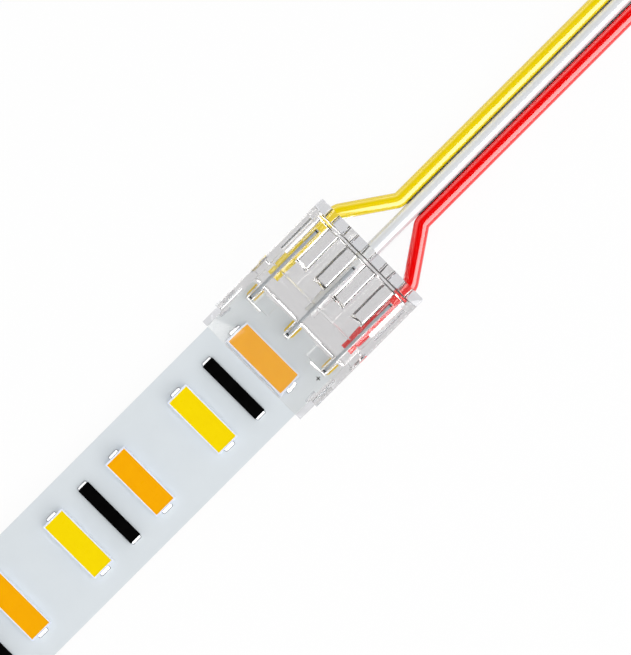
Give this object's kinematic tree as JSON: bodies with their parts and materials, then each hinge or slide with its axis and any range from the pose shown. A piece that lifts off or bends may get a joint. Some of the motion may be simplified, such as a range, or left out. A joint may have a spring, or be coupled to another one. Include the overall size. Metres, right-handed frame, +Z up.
{
  "type": "led strip connector",
  "caption": "Clear solderless snap connector joining the end of a flat LED light strip to a set of coloured wire leads.",
  "frame": {"origin": "centre of the connector's flat underside, where it rests", "axes": "+X along the strip towards the leads, +Y towards the yellow lead's side, +Z up through the cover"},
  "size_m": [0.1186, 0.0144, 0.004],
  "materials": {
    "clear_tray_plastic": "clear polycarbonate, moulded and polished",
    "clear_cover_plastic": "clear polycarbonate, moulded and polished",
    "tinned_blade_metal": "tinned phosphor bronze sheet, pressed",
    "yellow_sleeve": "glossy soft plastic wire sleeve",
    "white_sleeve": "glossy soft plastic wire sleeve",
    "red_sleeve": "glossy soft plastic wire sleeve",
    "tape_liner": "adhesive tape with its paper liner",
    "white_solder_mask": "satin white solder mask on a flexible board",
    "gold_plate": "thin gold plating on copper",
    "solder": "bright solder",
    "white_lamp_housing": "white moulded housing",
    "orange_phosphor": "orange phosphor in silicone",
    "yellow_phosphor": "yellow phosphor in silicone",
    "black_resistor": "black coated ceramic",
    "nylon_tie": "natural nylon"
  },
  "bodies": {
    "base_body": {"base_tray": "clear_tray_plastic", "strip_tape": "tape_liner", "strip_board": "white_solder_mask", "strip_pads": "gold_plate", "solder_ends": "solder", "lead_hank": "white_sleeve", "lead_tie": "nylon_tie", "yellow_lead": "yellow_sleeve", "white_lead": "white_sleeve", "red_lead": "red_sleeve", "lamp_glow_1": "orange_phosphor", "lamp_glow_3": "orange_phosphor", "lamp_glow_5": "orange_phosphor", "lamp_glow_2": "yellow_phosphor", "lamp_glow_4": "yellow_phosphor", "lamp_glow_6": "yellow_phosphor", "lamp_frame_1": "white_lamp_housing", "lamp_frame_2": "white_lamp_housing", "lamp_frame_3": "white_lamp_housing", "lamp_frame_4": "white_lamp_housing", "lamp_frame_5": "white_lamp_housing", "lamp_frame_6": "white_lamp_housing", "resistor_1": "black_resistor", "resistor_2": "black_resistor", "resistor_3": "black_resistor"},
    "cover_body": {"cover": "clear_cover_plastic", "contact_blade_yellow": "tinned_blade_metal", "contact_blade_white": "tinned_blade_metal", "contact_blade_red": "tinned_blade_metal"}
  },
  "joints": [
    {"name": "cover_lift", "type": "slide", "parent": "base_body", "child": "cover_body", "axis": [0, 0, 1], "range_m": [0, 0.0015]}
  ]
}
